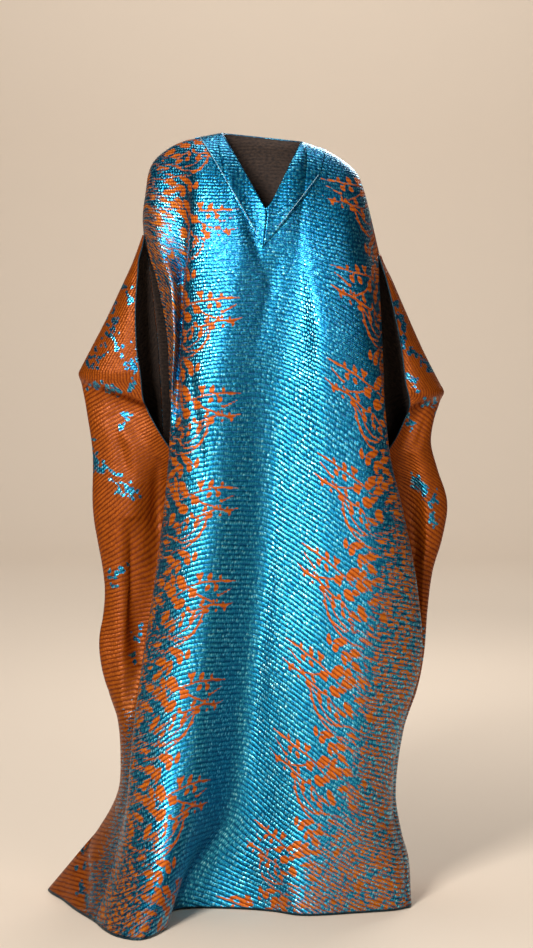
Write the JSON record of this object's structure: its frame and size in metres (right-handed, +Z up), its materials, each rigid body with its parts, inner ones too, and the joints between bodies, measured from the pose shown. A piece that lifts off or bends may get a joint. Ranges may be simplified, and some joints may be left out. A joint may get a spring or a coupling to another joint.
{
  "type": "kaftan",
  "caption": "Full-length worn kaftan in two-tone metallic flowered jacquard, with a topstitched V neck band, open arm slits and wide side wings; hollow, open at neck, slits and hem.",
  "frame": {"origin": "where the kaftan rests on the wearer's shoulders: level with the higher neck point, midway between front and back, at the middle of the neck", "axes": "+Z up, the front faces -Y, +X towards the viewer's right (the wearer's left)"},
  "size_m": [0.8109, 0.65, 1.5356],
  "materials": {
    "body_jacquard": "turquoise metallic jacquard with burnt orange satin flowers and leaves, raised weft ribs",
    "wing_jacquard": "burnt orange satin side of the same jacquard with turquoise flower clusters, raised weft ribs",
    "band_jacquard": "plain turquoise metallic jacquard, topstitched along the lower edge"
  },
  "bodies": {
    "root": {"front_panel": "body_jacquard", "back_panel": "body_jacquard", "side_wing_left": "wing_jacquard", "side_wing_right": "wing_jacquard", "neck_band_left": "band_jacquard", "neck_band_right": "band_jacquard", "neck_band_back": "band_jacquard"}
  },
  "joints": []
}
